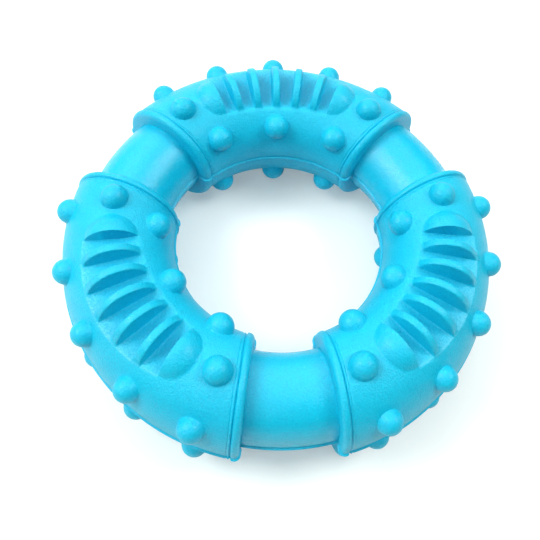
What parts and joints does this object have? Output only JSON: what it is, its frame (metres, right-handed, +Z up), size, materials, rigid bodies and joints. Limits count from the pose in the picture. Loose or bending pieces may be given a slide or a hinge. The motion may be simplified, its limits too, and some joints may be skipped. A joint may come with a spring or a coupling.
{
  "type": "rubber chew toy",
  "caption": "Chew ring of soft rubber for a dog: smooth necks between thicker sleeves with round nubs and upright ribs.",
  "frame": {"origin": "centre of the ring, on its axis and in the plane of the seam; the ring lies 19.85 mm below it on the ribs", "axes": "+Z up along the ring's axis, +Y towards the middle of the back sleeve, +X to the right"},
  "size_m": [0.1222, 0.1208, 0.0396],
  "materials": {
    "sleeve_rubber": "matt, faintly grained",
    "neck_rubber": "satin"
  },
  "bodies": {
    "root": {"core_upper": "neck_rubber", "core_lower": "neck_rubber", "sleeve_back_upper": "sleeve_rubber", "sleeve_back_lower": "sleeve_rubber", "sleeve_left_upper": "sleeve_rubber", "sleeve_left_lower": "sleeve_rubber", "sleeve_right_upper": "sleeve_rubber", "sleeve_right_lower": "sleeve_rubber"}
  },
  "joints": []
}
